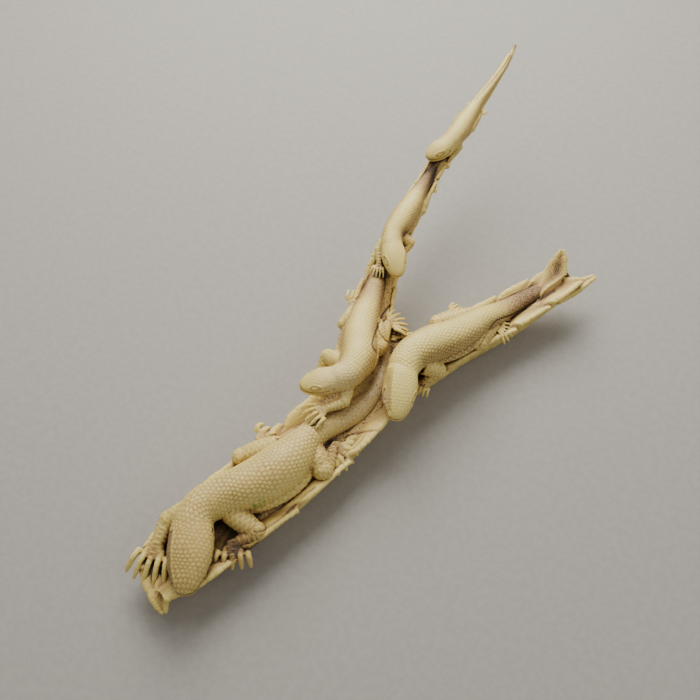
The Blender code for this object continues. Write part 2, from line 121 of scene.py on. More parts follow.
# head: snout, nape, half width. body, from nape to tail: x, y, z, half width, half height. A leg:
# where it leaves the body, knee, ankle, the way its toes point, their spread in degrees, its half
# thickness at the body, and its toes' length in shares of the lizard's. toe: length, half thickness.
LIZARDS = {
    "great": {
        "head": ((2.8, -22, 15.2), (-7.4, -1, 19.4), 7.3),
        "body": [
            (-6.8, -4, 19.4, 6, 5.6), (-7.4, 3, 19.4, 6.1, 6), (-3.8, 10, 18.8, 6.5, 7),
            (1.8, 17.5, 18.4, 7.6, 8.3), (6, 26, 18.1, 7.9, 8.5), (8, 33.5, 17.6, 7.1, 7.6),
            (8.8, 41, 16.8, 5.2, 5.8), (10.2, 48, 15.6, 4.7, 4.8), (13.6, 55, 14.4, 4.6, 4.3),
            (17, 62, 13.6, 4, 3.7), (18.3, 70, 12.9, 3.1, 3.1), (16.5, 78, 13, 2.2, 2.4),
            (13, 85, 13.6, 1.4, 1.5),
        ],
        "legs": [
            ((-9, 3, 16.5), (-15.6, -4.8, 14), (-14.4, -13, 13), (0.18, -1, -0.22), 58, 4.3, 1),
            ((0, 7, 16.5), (11, 6.6, 14.2), (6.4, -0.4, 13), (0.55, -1, -0.2), 66, 3.7, 0.78),
            ((1, 35, 16), (-8.4, 25.5, 14), (-5.2, 33, 13.8), (0.25, 1, 0), 50, 3.8, 0.8),
            ((12, 39, 16), (18.6, 34.8, 15), (16.8, 44.5, 14), (1, -0.05, -0.24), 120, 4.2, 0.88),
        ],
        "toe": (8.5, 0.95),
    },
    "fork": {
        "head": ((-2, 54.5, 23.5), (8.5, 62.5, 26), 4.7),
        "body": [
            (7.5, 61.5, 25.8, 4.4, 4.1), (10.2, 66.5, 25.6, 5.2, 4.8), (9.3, 74, 24.8, 6.1, 5.8),
            (5.2, 82, 23.6, 5.9, 5.8), (2.6, 90, 22.6, 5.1, 5.2), (1, 97, 21.6, 4.2, 4.4),
            (-1, 104, 20.6, 3.5, 3.6), (-3.2, 111, 20.2, 2.9, 2.8), (-4.4, 118, 21.5, 2, 2),
        ],
        "legs": [
            ((6, 70, 22.5), (-1.6, 71.4, 19.6), (-1.2, 65.5, 16), (-0.1, -1, -0.3), 50, 3.1, 0.9),
            ((11, 64, 22.5), (13.4, 57.5, 21.6), (9.3, 51.6, 22.2), (-0.55, -1, 0.1), 80, 2.4, 1),
            ((0, 93, 20), (-4.2, 86.5, 17.5), (-5.3, 96, 16.4), (-0.15, 1, 0.22), 50, 2.6, 0.9),
            ((5, 91, 20), (11.8, 83.6, 18.6), (9.2, 95, 16.8), (0.55, 0.85, -0.1), 105, 4.2, 1.05),
        ],
        "toe": (6.6, 0.75),
    },
    "branch": {
        "head": ((31, 61.5, 19.5), (24, 79, 22.5), 6),
        "body": [
            (24.3, 78, 22.4, 5.4, 4.8), (24.3, 85, 22, 6, 5.7), (27.6, 92.5, 21, 6.5, 6.4),
            (31.8, 99, 19.8, 6.2, 6.2), (35.2, 106, 18.4, 5.5, 5.6), (38.2, 114, 16.6, 4.6, 4.8),
            (41.8, 122, 14, 4, 4), (45.6, 130, 13.1, 3.5, 3.2), (49.8, 138, 13.4, 2.9, 2.5),
            (53.2, 144.5, 14.2, 2.2, 1.9), (55.8, 150, 14.8, 1.4, 1.3),
        ],
        "legs": [
            ((20, 88, 18.5), (21, 96.6, 14.8), (15.4, 95, 13.8), (-1, -0.15, -0.1), 45, 2.8, 0.8),
            ((29, 85, 19), (34.2, 88, 15.8), (31.4, 82, 14), (0.05, -1, -0.16), 50, 3.2, 0.65),
            ((34, 114, 16.4), (23.8, 104.8, 15.6), (26.4, 111.5, 15), (0.45, 1, 0), 45, 3.4, 0.8),
            ((39, 113, 15.6), (41, 105.4, 14.6), (43, 116, 14.2), (0.95, 0.35, -0.22), 110, 3.4, 0.95),
        ],
        "toe": (6.8, 0.75),
    },
    "tine": {
        "head": ((6, 108.5, 27.6), (-2.2, 118.5, 30.2), 4.4),
        "body": [
            (-1.8, 117.5, 30, 3.9, 3.6), (-3.8, 122.5, 30.4, 3.9, 3.8), (-4, 129, 31, 4.3, 4.3),
            (-4, 136, 31.6, 4, 4.1), (-4.3, 142, 31.9, 3.2, 3.4), (-4.6, 148, 32.2, 2.4, 2.6),
            (-4.7, 154, 32.8, 1.8, 2), (-4.6, 159, 33.4, 1.3, 1.5),
        ],
        "legs": [
            ((-5, 121, 28), (-6, 116, 26.4), (-3.2, 111.6, 25.4), (0.25, -1, -0.2), 55, 2.2, 1.05),
            ((-2, 124, 29), (2.6, 124.5, 27.2), (1.6, 119.5, 24.6), (0.1, -1, -0.35), 45, 2.2, 0.8),
            ((-5.5, 142, 31), (-7.2, 138, 29.4), (-6.8, 146, 29.6), (0.15, 1, 0.2), 45, 2.2, 0.9),
            ((-3, 142, 31), (-0.4, 138, 29.2), (-1.6, 147, 29.4), (-0.15, 1, 0.2), 50, 2.3, 1),
        ],
        "toe": (4.8, 0.7),
    },
    "tip": {
        "head": ((-7.9, 156, 37), (-3.4, 164.8, 38.8), 3.7),
        "body": [
            (-3.9, 163.8, 38.6, 3.2, 3.1), (-3.1, 168.5, 39, 3.7, 3.5), (-2.9, 175, 39.8, 3.6, 3.4),
            (-2.7, 181.5, 40.6, 2.8, 2.8), (-2.6, 188, 41.6, 2.1, 2.1), (-1.9, 196, 42.8, 1.8, 1.8),
            (-1.5, 205, 44.2, 1.4, 1.4), (-1.7, 213, 45.6, 1, 1),
        ],
        "legs": [
            ((-5, 167, 38), (-6.8, 168, 36.8), (-6.4, 162, 35), (0.1, -1, -0.3), 45, 1.9, 0.9),
            ((-2.5, 166, 38), (-0.2, 167.5, 36.4), (-1, 161, 34.4), (-0.1, -1, -0.3), 45, 1.9, 0.9),
            ((-4.5, 181, 39.5), (-5.9, 177.5, 38.4), (-5.4, 184.5, 39.4), (0.25, 1, 0.2), 40, 1.9, 0.9),
            ((-2, 181, 39.5), (0.2, 176.5, 38.2), (0.2, 184, 39), (0.1, 1, 0.2), 45, 2, 1),
        ],
        "toe": (3.8, 0.7),
    },
}

# The head from snout to nape: shares of its length, and of its half width for the half width there
# and for the heights above and below its middle line.
SKULL = [
    (-0.02, 0.22, 0.14, 0.14), (0.03, 0.44, 0.32, 0.28), (0.14, 0.66, 0.5, 0.4), (0.32, 0.87, 0.68, 0.5),
    (0.52, 1, 0.8, 0.6), (0.72, 1, 0.84, 0.7), (0.9, 0.9, 0.8, 0.74), (1.04, 0.72, 0.62, 0.66),
]
HEAD_SQUARE = 2.35  # how squarely a head is rounded, 2 being an ellipse
BROW = [(0.12, 0.5, 0.36), (0.34, 0.72, 0.56), (0.52, 0.86, 0.66), (0.7, 0.88, 0.66)]
# How thick a leg's two parts are along their length, in shares of its half thickness at the body.
THIGH = [(0, 0.95), (0.5, 1.02), (0.9, 0.8), (1.08, 0.42)]
SHANK = [(-0.12, 0.45), (0.12, 0.72), (0.5, 0.64), (1, 0.44)]
TOES = 5
FAN_TOES = 7  # on a hind foot whose toes spread into a comb
FAN_SPREAD = 100  # the spread in degrees from which a foot is such a comb
CLOSED_HAND = 0.5  # how far the toes of the other feet spread, as a share of the solid's
DRAPED_HAND = 1.45  # how much longer the great lizard's left toes are, which hang over the rim
# Toes: length and thickness as shares of the solid's, and the step between two at the palm, in half
# thicknesses.
HANDS = {
    "great": (0.74, 1.58, 1.55),
    "fork": (0.9, 1.24, 1.6),
    "branch": (0.86, 1, 1.6),
    "tine": (0.86, 0.9, 1.4),
    "tip": (0.6, 0.8, 1.1),
}

# Eyes, in shares of the head's length and half width: along, out, up and their size.
EYES = {
    "great": (0.36, 0.84, -0.06, 0.13),
    "fork": (0.4, 0.68, 0.42, 0.16),
    "branch": (0.4, 0.78, 0.22, 0.15),
    "tine": (0.42, 0.7, 0.34, 0.18),
    "tip": (0.42, 0.7, 0.34, 0.19),
}
EYE_STRETCH = 2.0  # the eyes' length in shares of their height
# The heads with a left cheek cut flat: how far out on the crown its edge is, and how rosy it is.
FLAT_CHEEKS = {"great": (0.66, 0.8), "branch": (0.42, 0.25)}

# How high the mouth line runs on a head that shows more of it, in half widths.
MOUTHS = {"fork": 0.22}

# Each lizard's grain, pitch and height of its scales, how strong they are on its head, and how brown
# its tail, the net between its scales and all of it are.
FINISH = {
    "great": (0.3, 1.58, 0.16, 1, 1, 0.08, 0.3),
    "fork": (0.25, 1.24, 0.14, 0.7, 0.6, 0.09, -0.02),
    "branch": (0.265, 1.38, 0.17, 0.8, 1, 0.12, -0.02),
    "tine": (0.225, 1.06, 0.11, 0.5, 0.9, 0.09, -0.02),
    "tip": (0.21, 1, 0.08, 0.5, 0.1, 0.08, 0.05),
}

# Each kind of form: scale pitch and height in shares of the lizard's, how far the scales are drawn out
# across a limb, how much browner than the back it is, and its net in shares of the lizard's.
KINDS = {
    "body": (1, 1, 1, 0, 1),
    "head": (0.92, 0.85, 1, 0, 0.8),
    "jaw": (0.86, 0.4, 1, 0.1, 0.6),
    "brow": (0.8, 0.2, 1, 0, 0),
    "eye": (1, 0, 1, 0.04, 0),
    # Thighs, shanks and palms are browner, palms most: patina with painted shade.
    "thigh": (0.66, 0.8, 3.6, 0.12, 1.2),
    "shank": (0.64, 0.9, 5.5, 0.2, 1.6),
    "palm": (0.62, 0.7, 5.5, 0.34, 1.6),
    "toe": (0.7, 0.4, 3, 0.02, 0.6),
}
LIMBS = ("thigh", "shank", "palm", "toe")
LIMB_RIDGE = 0.17  # the least height of the ridges across a limb
LIMB_SHARE = 0.15  # how much of a lizard's brown all over its limbs have

# Lines cut across the forms: how deep and wide, and points they pass as the camera sees them.
CUTS = [
    (
        (0.36, 0.42),
        [(7.7, 100.5, 21), (7.3, 96, 21), (8.2, 90.5, 21), (9, 85.5, 20), (10, 83, 19), (12, 82.5, 17)],
    ),
    ((0.3, 0.36), [(7.5, 91.5, 21), (9.5, 88.5, 21), (12.3, 87, 21), (14, 87.3, 19)]),
    (
        (0.3, 0.4),
        [
            (55, 140, 15), (50.6, 132, 14), (46, 123.3, 14), (41.6, 117.5, 14), (41.2, 112, 14),
            (40.7, 106, 12),
        ],
    ),
    ((0.26, 0.36), [(27, 59, 12), (22.8, 56.3, 12), (20, 53.8, 12), (17.7, 50.7, 12)]),
    (
        (0.26, 0.4),
        [(9.2, 8.5, 11), (11.6, 10, 11), (13.7, 14.7, 11), (15.4, 21, 11), (16.6, 26.4, 11), (18, 30.3, 11)],
    ),
]
# Places that are deeper, browner or more pitted: the spot, its radius, dent, brown and pits.
PATCHES = [
    # Low beside the great lizard's neck, under a foreleg: patina with painted shade.
    ((8.6, 1, 8.4), 7.2, 0, 1, 0),
    ((-2.3, 110.8, 21.5), 2.8, 0.9, 0.5, 0),
    ((-0.6, 124.4, 30), 2.4, 0.3, 0.42, 0),
    ((-5, 153.5, 33.4), 3.6, 0.2, 0.42, 0.4),
    ((51.6, 147.5, 17.6), 4.6, 0.3, 0.3, 1),
    ((31.7, 81.6, 14.4), 3.6, 0, 0.1, 1),
    ((15.6, 41.2, 16.4), 4.4, 0, 0.34, 1),
]

# How a rim leaf lies: how far in and how high, in half widths, and how it tilts outward.
LEAF_OVERLAP = 0.8
LEAF_LIFT = 0.26
LEAF_TILT = 0.34

# The fineness of the ground's and the leaves' skin, in units, as FINISH has it for the lizards.
GROUND_GRAINS = {"beam": 0.5, "branch": 0.44}
LEAF_GRAIN = 0.42

# The camera looks down on the carving at the photograph's angle.
CAMERA_AZIMUTH = 30.0
CAMERA_ELEVATION = 58.0
CAMERA_DISTANCE = 0.345
CAMERA_LENS = 50.0
CAMERA_TARGET = (0.0027, 0.08, 0.015)


def outward(azimuth, elevation):
    """The way from the object to something seen at this azimuth and elevation."""
    a, e = math.radians(azimuth), math.radians(elevation)
    return Vector((math.sin(a) * math.cos(e), -math.cos(a) * math.cos(e), math.sin(e)))


UP = Vector((0, 0, 1))


def unit(vectors):
    """Each of the vectors at a length of 1."""
    return vectors / np.linalg.norm(vectors, axis=1, keepdims=True)


def distances(places):
    """How far along a line each of its points is."""
    steps = np.linalg.norm(np.diff(places, axis=0), axis=1)
    return np.concatenate([[0], np.cumsum(steps)])


def through(rows, count):
    """Points on a smooth curve through all the rows, evenly spaced along it."""
    rows = np.array(rows, float)
    ends = np.vstack([2 * rows[0] - rows[1], rows, 2 * rows[-1] - rows[-2]])
    fine = []
    for i in range(1, len(ends) - 2):
        a, b, c, d = ends[i - 1 : i + 3]
        for t in np.linspace(0, 1, 12, endpoint=False):
            square, cube = (2 * a - 5 * b + 4 * c - d) * t**2, (3 * b - a - 3 * c + d) * t**3
            fine.append(0.5 * (2 * b + (c - a) * t + square + cube))
    fine = np.array(fine + [rows[-1]])
    along = distances(fine[:, :3])
    wanted = np.linspace(0, along[-1], count)
    return np.stack([np.interp(wanted, along, column) for column in fine.T], axis=1)


class Block:
    """What is carved from: closed forms in one mesh, and the lines that they follow."""

    def __init__(self):
        self.mesh = bmesh.new()
        self.forms = []

    def follow(self, kind, rows, way, across, top, along):
        form = {"kind": kind, "rows": rows, "way": way, "across": across, "top": top, "along": along}
        self.forms.append(form)

    def sweep(self, kind, rows, sides=20, up=UP, square=2.0):
        """A closed form through rows of x, y, z, half width, height above and depth below."""
        rows = np.array(rows, float)
        while rows.shape[1] < 6:
            rows = np.column_stack([rows, rows[:, -1]])
        way = unit(np.gradient(rows[:, :3], axis=0))
        across = unit(np.cross(way, np.array(up, float)))
        top = np.cross(across, way)
        self.follow(kind, rows, way, across, top, distances(rows[:, :3]))
        bm = self.mesh
        ring = bmesh.ops.create_circle(bm, segments=sides, radius=1.0)["verts"]
        first = ring
        for i, (x, y, z, wide, above, below) in enumerate(rows):
            if i:
                held = set(ring)
                edges = dict.fromkeys(e for v in ring for e in v.link_edges if held.issuperset(e.verts))
                made = bmesh.ops.extrude_edge_only(bm, edges=list(edges))["geom"]
                fresh = {v for v in made if isinstance(v, bmesh.types.BMVert)}
                beside = ([e.other_vert(v) for e in v.link_edges] for v in ring)
                ring = [next(other for other in others if other in fresh) for others in beside]
            middle, side_way, top_way = Vector((x, y, z)), Vector(across[i]), Vector(top[i])
            for j, vert in enumerate(ring):
                angle = 2 * math.pi * j / sides
                side = math.copysign(abs(math.cos(angle)) ** (2 / square), math.cos(angle))
                rise = math.copysign(abs(math.sin(angle)) ** (2 / square), math.sin(angle))
                height = above if rise > 0 else below
                vert.co = middle + side_way * side * wide + top_way * rise * height
        for end in (first, ring):
            bmesh.ops.contextual_create(bm, geom=end)

    def ball(self, kind, centre, radius, way=(1, 0, 0), stretch=1.0):
        """A round form, such as a knee, or an eye that is drawn out along the head."""
        turn = Vector(way).to_track_quat("X", "Z").to_matrix().to_4x4()
        placed = Matrix.Translation(centre) @ turn @ Matrix.Diagonal((stretch, 1, 1, 1))
        bmesh.ops.create_uvsphere(self.mesh, u_segments=20, v_segments=12, radius=radius, matrix=placed)
        across, way, top = np.eye(3)[:, None]
        self.follow(kind, np.array([[*centre, radius, radius, radius]]), way, across, top, np.zeros(1))

    def skin(self, grain, softness):
        """One closed skin round all the forms."""
        bmesh.ops.recalc_face_normals(self.mesh, faces=self.mesh.faces)
        rough = bpy.data.meshes.new("rough")
        self.mesh.to_mesh(rough)
        self.mesh.free()
        blank = bpy.data.objects.new("rough", rough)
        bpy.context.scene.collection.objects.link(blank)
        remesh = blank.modifiers.new("one skin", "REMESH")
        remesh.mode = "VOXEL"
        remesh.voxel_size = grain
        soften = blank.modifiers.new("soften", "SMOOTH")
        soften.factor = 0.5
        soften.iterations = softness
        seen = blank.evaluated_get(bpy.context.evaluated_depsgraph_get())
        mesh = bpy.data.meshes.new_from_object(seen)
        bpy.data.objects.remove(blank)
        bpy.data.meshes.remove(rough)
        return mesh


def head_frame(name):
    """A head's snout, the line from it to the nape, the ways across and up, and the half width."""
    snout, nape, wide = LIZARDS[name]["head"]
    snout, line = Vector(snout), Vector(nape) - Vector(snout)
    across = line.cross(UP).normalized()
    return snout, line, across, across.cross(line).normalized(), wide


def eye_centre(name, hand):
    snout, line, across, top, wide = head_frame(name)
    along, out, up, _ = EYES[name]
    return snout + line * along + across * hand * out * wide + top * up * wide


def head(block, name):
    """A wedge-shaped head with a flat crown, brows over the eyes and a jaw set in under the lip."""
    snout, line, across, top, wide = head_frame(name)
    skull = [(*(snout + line * t), w * wide, a * wide, b * wide) for t, w, a, b in SKULL]
    block.sweep("head", through(skull, 26), 32, square=HEAD_SQUARE)
    jaw_drop = top * 0.46 * wide
    jaw = [
        (*(snout + line * (t + 0.05) - jaw_drop), 0.9 * w * wide, 0.3 * wide, 0.55 * b * wide)
        for t, w, a, b in SKULL
    ]
    block.sweep("jaw", through(jaw, 20), 24, square=2.4)
    for hand in (-1, 1):
        if name not in FLAT_CHEEKS:
            brow = [
                (*(snout + line * t + across * hand * w * wide * 0.84 + top * a * wide * 0.86), 0.09 * wide)
                for t, w, a in BROW
            ]
            block.sweep("brow", through(brow, 14), 10)
        block.ball("eye", eye_centre(name, hand), EYES[name][3] * wide, line, EYE_STRETCH)


def foot(block, ankle, way, spread, toe_length, thick, toe_step):
    """A palm with slim toes that fan out, arch at the knuckle and bend down at their tips."""
    ankle, way = Vector(ankle), Vector(way).normalized()
    flat = Vector((way.x, way.y, 0)).normalized()
    aside = flat.cross(UP)
    toes = FAN_TOES if spread > FAN_SPREAD else TOES
    palm = ankle + way * 1.6 * thick
    width = 0.4 * toe_step * (TOES - 1) * thick
    palm_rows = [
        (*(ankle - way * 0.8 * thick), 1.3 * thick, 1.2 * thick),
        (*palm, width, 1.0 * thick),
        (*(palm + way * 1.2 * thick), 0.9 * width, 0.8 * thick),
    ]
    block.sweep("palm", through(palm_rows, 9), 14)
    for i in range(toes):
        share = i / (toes - 1) - 0.5
        out = Matrix.Rotation(math.radians(spread * share), 3, "Z") @ flat
        out.z = way.z
        reach = toe_length * (1.0 - 0.55 * share**2)
        base = palm - aside * share * (TOES - 1) * toe_step * thick
        knuckle = base + out * 0.4 * reach + UP * (0.6 * thick)
        last = base + out * 0.76 * reach - UP * (0.2 * thick)
        tip = base + out * 1.02 * reach - UP * (1.1 * thick)
        toe = [(*base, 0.72 * thick), (*knuckle, 0.66 * thick), (*last, 0.6 * thick), (*tip, 0.36 * thick)]
        block.sweep("toe", through(toe, 14), 12)


def leg(block, root, knee, ankle, way, spread, thick, toe):
    """A thigh that swells above the knee, a slimmer shank, and the foot."""
    root, knee, ankle = Vector(root), Vector(knee), Vector(ankle)
    for kind, start, end, profile in (("thigh", root, knee, THIGH), ("shank", knee, ankle, SHANK)):
        rows = [(*start.lerp(end, t), share * thick) for t, share in profile]
        block.sweep(kind, through(rows, 14), 20)
    block.ball("thigh", root.lerp(knee, 0.94), 0.86 * thick)
    foot(block, ankle, way, spread, *toe)


def lizard(name):
    """The forms of one lizard: head, body with its tail, and four legs."""
    shape, block = LIZARDS[name], Block()
    head(block, name)
    block.sweep("body", through(shape["body"], 90), 36, square=2.15)
    block.sweep("body", through(belly(shape["body"]), 50), 32)
    toe_length, toe_thick = shape["toe"]
    longer, thicker, toe_step = HANDS[name]
    for i, (*places, way, spread, thick, reach) in enumerate(shape["legs"]):
        if spread < FAN_SPREAD:
            spread *= CLOSED_HAND
        if (name, i) == ("great", 0):
            reach *= DRAPED_HAND
        leg(block, *places, way, spread, thick, (toe_length * longer * reach, toe_thick * thicker, toe_step))
    return block


def belly(rows):
    """The low, wide part of a body, that runs down to the rims."""
    middle = rows[1:-3]
    low = []
    for i, (x, y, z, wide, high) in enumerate(middle):
        swell = math.sin(math.pi * i / (len(middle) - 1))
        low.append((x, y, z - 0.46 * high, wide * (0.82 + 0.4 * swell), high * (0.45 + 0.14 * swell)))
    return low


def rim_leaf(block, limb, side, start, end, flare, rise, wide, thick):
    """A pointed leaf that lies along the rim and lifts away from it at its tip."""
    count = len(limb)
    rows = []
    for t in np.linspace(0, 1, 16):
        at = (start + (end - start) * t) * (count - 1)
        i = min(int(at), count - 2)
        here = limb[i] + (limb[i + 1] - limb[i]) * (at - i)
        forward = Vector(limb[i + 1][:3] - limb[i][:3]).normalized()
        out = forward.cross(UP).normalized() * side
        blade = wide * math.sin(math.pi * min(1, 0.16 + 0.8 * t)) ** 0.7
        shift = here[3] - LEAF_OVERLAP * blade + flare * t**2
        spot = Vector(here[:3]) + out * shift + UP * (LEAF_LIFT * wide + rise * t**2)
        rows.append((*spot, max(0.4, blade), thick / 2 * (1 - 0.3 * t)))
    block.sweep("leaf", rows, 18, up=UP - out * LEAF_TILT)


def limbs():
    return {"beam": through(BEAM_AND_TINE, 130), "branch": through(BRANCH, 60)}


def leaves(thick):
    """Both rows of rim leaves, and the leaf tips at the base and the branch's end."""
    block = Block()
    for name, side, first, last, count, flare, rise, wide in RIM_LEAVES:
        step = (last - first) / count
        for i in range(count):
            start = first + step * i
            rim_leaf(block, limbs()[name], side, start, start + step * 1.18, flare, rise, wide, thick)
    for rows in LEAF_ENDS:
        block.sweep("leaf", through(rows, 16), 18)
    return block


def neighbours(mesh):
    """The mesh's edges as pairs of corners, and how many edges meet in each corner."""
    pairs = np.empty(len(mesh.edges) * 2, np.int64)
    mesh.edges.foreach_get("vertices", pairs)
    pairs = pairs.reshape(-1, 2)
    met = np.bincount(pairs.ravel(), minlength=len(mesh.vertices))
    return pairs, np.maximum(met, 1)


def averaged(values, pairs, met, times):
    """values evened out between neighbouring corners."""
    values = np.array(values, float)
    single = values.ndim == 1
    if single:
        values = values[:, None]
    for _ in range(times):
        mean = np.empty_like(values)
        for k in range(values.shape[1]):
            column = values[:, k]
            mean[:, k] = np.bincount(pairs[:, 0], column[pairs[:, 1]], len(met))
            mean[:, k] += np.bincount(pairs[:, 1], column[pairs[:, 0]], len(met))
        values = 0.5 * values + 0.5 * mean / met[:, None]
    return values[:, 0] if single else values


def corners(mesh):
    """Places and outward normals of the mesh's corners."""
    places = np.empty(len(mesh.vertices) * 3)
    mesh.vertices.foreach_get("co", places)
    normals = np.empty(len(mesh.vertices) * 3)
    mesh.vertices.foreach_get("normal", normals)
    return places.reshape(-1, 3), normals.reshape(-1, 3)


AT_ONCE = 20000  # how many corners are looked up in one step, to keep the arrays small


def nearest_form(places, forms):
    """For each place, the form it belongs to and where on it: along, round from its top, height."""
    keys = ("rows", "way", "across", "top", "along")
    rows, way, across, top, along = (np.concatenate([f[key] for f in forms]) for key in keys)
    centres, radii = rows[:, :3], rows[:, 3:].mean(axis=1)
    owner = np.repeat(np.arange(len(forms)), [len(f["rows"]) for f in forms])
    picks = np.empty(len(places), np.int64)
    squares = (centres**2).sum(axis=1)
    for begin in range(0, len(places), AT_ONCE):
        part = places[begin : begin + AT_ONCE]
        gaps = (part**2).sum(axis=1)[:, None] + squares - 2 * part @ centres.T
        picks[begin : begin + AT_ONCE] = np.argmin(np.sqrt(np.maximum(gaps, 0)) - radii, axis=1)
    off = places - centres[picks]
    s = along[picks] + (off * way[picks]).sum(axis=1)
    side = (off * across[picks]).sum(axis=1)
    rise = (off * top[picks]).sum(axis=1)
    length = np.array([f["along"][-1] for f in forms])
    return {
        "owner": owner[picks],
        "s": s,
        "share": s / np.maximum(length[owner[picks]], 1e-6),
        "side": side,
        "angle": np.arctan2(side, rise),
        "radius": radii[picks],
        "half": rows[picks, 3],
    }


def beads(s, round_it, pitch, drawn):
    """Height from 0 to 1 of round scales that stand in offset rows."""
    best = np.full(len(s), 9.0)
    row_step = 0.87 * pitch
    row = np.floor(s / row_step)
    for extra in (0, 1):
        this = row + extra
        offset = 0.5 * np.mod(this, 2)
        wide = pitch * drawn
        column = np.round(round_it / wide - offset) + offset
        best = np.minimum(best, np.hypot((round_it - column * wide) / wide, (s - this * row_step) / pitch))
    return np.sqrt(np.clip(1 - (best / 0.49) ** 2, 0, 1))


def ripple(places, size, seed):
    """A smooth uneven field from -1 to 1, the same on every run."""
    rng, total = np.random.default_rng(seed), 0
    for _ in range(7):
        way = rng.normal(size=3)
        way *= 2 * math.pi / (size * np.linalg.norm(way) * rng.uniform(0.7, 1.5))
        total += np.sin(places @ way + rng.uniform(0, 2 * math.pi))
    return total / 3.2


def hump(x, width):
    """1 at x = 0 that falls off softly, to a third at the width."""
    return np.exp(-((x / width) ** 2))


def smooth_step(x, low, high):
    t = np.clip((x - low) / (high - low), 0, 1)
    return t * t * (3 - 2 * t)


class Skin:
    """A piece's relief, and how brown, scaly, rosy and pitted each of its corners is."""

    def __init__(self, count):
        self.lift, self.brown, self.net, self.scaly, self.rosy, self.pitted = np.zeros((6, count))


def lizard_relief(name, places, at, kinds, pitch, height):
    """Scales on back and head, fine ridges on the limbs, the browner tail, and flanks browned by patina and
    painted shade.
    """
    skin = Skin(len(places))
    head_scales, tail_brown, net, browner_all = FINISH[name][3:]
    wander = 0.24 * pitch
    s = at["s"] + wander * ripple(places, 9, 3)
    turn = at["angle"] * at["radius"] + wander * ripple(places, 8, 5)
    uneven = 1 + 0.25 * ripple(places, 7, 6)
    # An uneven painted highlight on the scale tops.
    glint = np.clip(0.85 + 0.35 * ripple(places, 2.4, 7), 0, 1.2)
    for kind, (pitch_share, height_share, drawn, browner, net_share) in KINDS.items():
        mine = kinds == kind
        if not mine.any():
            continue
        dome = beads(s[mine], turn[mine], pitch * pitch_share, drawn)
        if kind in ("head", "jaw", "brow"):
            height_share *= head_scales
            net_share *= head_scales
        stand = max(height, LIMB_RIDGE) if kind in LIMBS else height
        skin.lift[mine] = (dome - 0.45) * stand * height_share * uneven[mine]
        # Paler scale tops are polish with a painted highlight, and the browner net is patina with painted
        # shade.
        skin.scaly[mine] = dome * min(1, height_share) * glint[mine]
        skin.net[mine] = net * net_share * (1 - dome) * uneven[mine]
        skin.brown[mine] = browner + browner_all * (LIMB_SHARE if kind in LIMBS else 1)
    body = kinds == "body"
    # The flanks are browner: patina, with painted shade where the sides turn from the light.
    flank = smooth_step(np.abs(at["angle"]), 0.35, 1.1) * smooth_step(at["share"], -0.02, 0.13) * body
    tail = smooth_step(at["share"], 0.5, 0.74) * body * tail_brown
    darker = max(0, browner_all)
    skin.brown += (0.44 - 2.2 * darker) * flank * (1 - 0.6 * tail) + (0.64 - 2.5 * darker) * tail
    skin.rosy += 0.9 * tail
    skin.pitted += tail
    skin.scaly *= 1 - 0.7 * tail
    skin.net *= 1 - 0.7 * tail
    skin.lift *= 1 - 0.55 * tail
    if name == "tip":
        twist = hump(at["angle"] + 0.35 - 0.035 * (at["s"] - 20), 0.3) * (at["share"] > 0.45) * body
        skin.lift -= 0.3 * twist
        skin.brown += 0.16 * twist
    face_relief(name, places, kinds, skin)
    return skin


def face_relief(name, places, kinds, skin):
    """Mouth line, eyes, nostrils, ears and the flat cheek of two of the heads."""
    snout, line, across, top, wide = (np.array(v) for v in head_frame(name))
    off = places - snout
    share = off @ line / (line @ line)
    rise = off @ top / wide
    side = off @ across / wide
    on_head = np.isin(kinds, ["head", "jaw", "brow", "eye"])
    mouth_rise = MOUTHS.get(name, 0.06) - 0.1 * np.sin(np.clip(share, 0, 1) * math.pi)
    lip = hump(rise - mouth_rise, 0.075) * (share < 0.8) * on_head
    skin.lift -= 0.07 * wide * lip
    skin.brown += 0.55 * lip
    if name in FLAT_CHEEKS:
        flatten_cheek(*FLAT_CHEEKS[name], wide, share, side, rise, on_head, skin)
    forward = line / np.linalg.norm(line)
    for hand in (-1, 1):
        size = EYES[name][3] * wide
        gap = places - np.array(eye_centre(name, hand))
        out = across * hand * EYES[name][1] + top * EYES[name][2]
        out /= np.linalg.norm(out)
        ahead = gap @ forward
        beside = gap @ np.cross(forward, out)
        away = np.hypot(ahead / EYE_STRETCH, beside) / size
        near = (gap @ out > -1.5 * size) & on_head
        ring = hump(away - 1.05, 0.2) * near
        lid = hump(away - 1.5, 0.22) * near
        slit = hump(beside, 0.22 * size) * smooth_step(away, 1.0, 0.7) * near
        skin.lift += wide * (0.035 * lid - 0.04 * ring)
        skin.brown += 0.22 * ring + 0.26 * slit
        skin.net *= 1 - np.clip(ring + lid, 0, 1)
        skin.scaly *= 1 - np.clip(ring + lid, 0, 1)
        nostril = snout + line * 0.06 + across * hand * 0.26 * wide + top * 0.2 * wide
        dent = hump(np.linalg.norm(places - nostril, axis=1), 0.07 * wide)
        ear = snout + line * 0.84 + across * hand * 0.93 * wide + top * 0.12 * wide
        hole = hump(np.linalg.norm(places - ear, axis=1), 0.11 * wide)
        skin.lift -= 0.06 * wide * dent + 0.09 * wide * hole
        skin.brown += 0.5 * dent + 0.8 * hole


